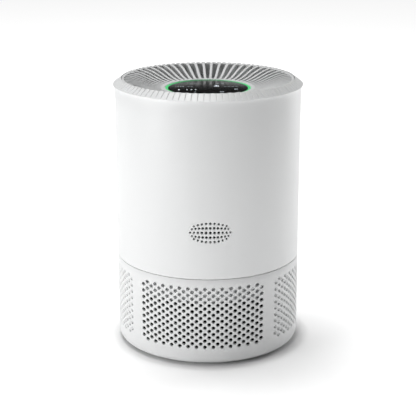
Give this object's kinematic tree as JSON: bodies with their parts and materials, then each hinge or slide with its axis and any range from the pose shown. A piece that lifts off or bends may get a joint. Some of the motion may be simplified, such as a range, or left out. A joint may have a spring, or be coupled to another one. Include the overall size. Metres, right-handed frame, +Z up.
{
  "type": "air purifier",
  "caption": "Round table-top air purifier: perforated twist-off base, ring filter, centrifugal fan, and a dished radial outlet grille round a touch panel.",
  "frame": {"origin": "centre of the underside of the foot pads, on the surface that it stands on", "axes": "+Z up along the cylinder's axis; the front, with the sensor vent, faces -Y"},
  "size_m": [0.2, 0.2, 0.2867],
  "materials": {
    "white_shell": "satin moulded ABS",
    "inner_white": "moulded ABS",
    "light_green": "translucent light guide, lit",
    "black_gloss": "gloss lens",
    "dark_plastic": "moulded",
    "filter_paper": "pleated",
    "carbon_fabric": "carbon-loaded",
    "mesh_fabric": "woven mesh",
    "tab_fabric": "woven tape",
    "foam_rubber": "closed-cell foam",
    "foot_rubber": "matt",
    "lead_rubber": "matt",
    "motor_steel": "pressed",
    "zinc_steel": "zinc plated",
    "copper_winding": "enamelled copper",
    "magnet_iron": "matt",
    "board_green": "solder mask"
  },
  "bodies": {
    "base": {"base_shell": "white_shell", "foot_pad_1": "foot_rubber", "foot_pad_2": "foot_rubber", "foot_pad_3": "foot_rubber", "foot_pad_4": "foot_rubber"},
    "filter": {"filter_bottom_cap": "dark_plastic", "filter_media": "filter_paper", "carbon_layer": "carbon_fabric", "prefilter_mesh": "mesh_fabric", "filter_top_cap": "dark_plastic", "pull_tab": "tab_fabric"},
    "seal": {"seal_ring": "foam_rubber"},
    "head": {"fan_deck": "inner_white", "lock_catch_1": "inner_white", "lock_catch_2": "inner_white", "lock_catch_3": "inner_white", "lock_catch_4": "inner_white", "deck_screw_1": "zinc_steel", "deck_screw_2": "zinc_steel", "deck_screw_3": "zinc_steel", "deck_screw_4": "zinc_steel", "interlock_switch": "dark_plastic", "inlet_guard": "inner_white", "inlet_bell": "inner_white", "fan_duct": "inner_white", "motor_bracket": "inner_white", "duct_screw_1": "zinc_steel", "duct_screw_2": "zinc_steel", "duct_screw_3": "zinc_steel", "motor_can": "motor_steel", "motor_stator": "copper_winding", "bearing_lower": "motor_steel", "bearing_upper": "motor_steel", "motor_screw_1": "zinc_steel", "motor_screw_2": "zinc_steel", "motor_screw_3": "zinc_steel", "motor_cover": "inner_white", "motor_lead": "lead_rubber", "body_shell": "white_shell", "crown_ring": "white_shell", "outlet_grille": "white_shell", "light_ring": "light_green", "display_lens": "black_gloss", "panel_tray": "inner_white", "tray_screw_1": "zinc_steel", "tray_screw_2": "zinc_steel", "tray_screw_3": "zinc_steel", "control_board": "board_green", "panel_lead": "lead_rubber", "power_board": "board_green", "dc_jack": "dark_plastic", "air_sensor": "dark_plastic", "sensor_gasket": "foam_rubber"},
    "plunger": {"interlock_plunger": "dark_plastic"},
    "fan": {"impeller": "dark_plastic", "impeller_nut": "zinc_steel", "motor_shaft": "motor_steel", "motor_rotor": "magnet_iron"}
  },
  "joints": [
    {"name": "filter_lift", "type": "slide", "parent": "base", "child": "filter", "axis": [0, 0, 1], "range_m": [0, 0.1]},
    {"name": "head_twist", "type": "hinge", "parent": "filter", "child": "seal", "pos_m": [0, 0, 0.0925], "axis": [0, 0, 1], "range_deg": [0, 15]},
    {"name": "head_lift", "type": "slide", "parent": "seal", "child": "head", "axis": [0, 0, 1], "range_m": [0, 0.06], "deforming": ["lock_catch_1", "lock_catch_2", "lock_catch_3", "lock_catch_4"]},
    {"name": "plunger_slide", "type": "slide", "parent": "head", "child": "plunger", "axis": [0, 0, -1], "range_m": [0, 0.0026]},
    {"name": "fan_spin", "type": "hinge", "parent": "head", "child": "fan", "pos_m": [0, 0, 0.15], "axis": [0, 0, 1], "continuous": true}
  ],
  "couplings": [
    {"joint": "plunger_slide", "follows": "head_twist", "m_per_rad": 0.0095493}
  ]
}
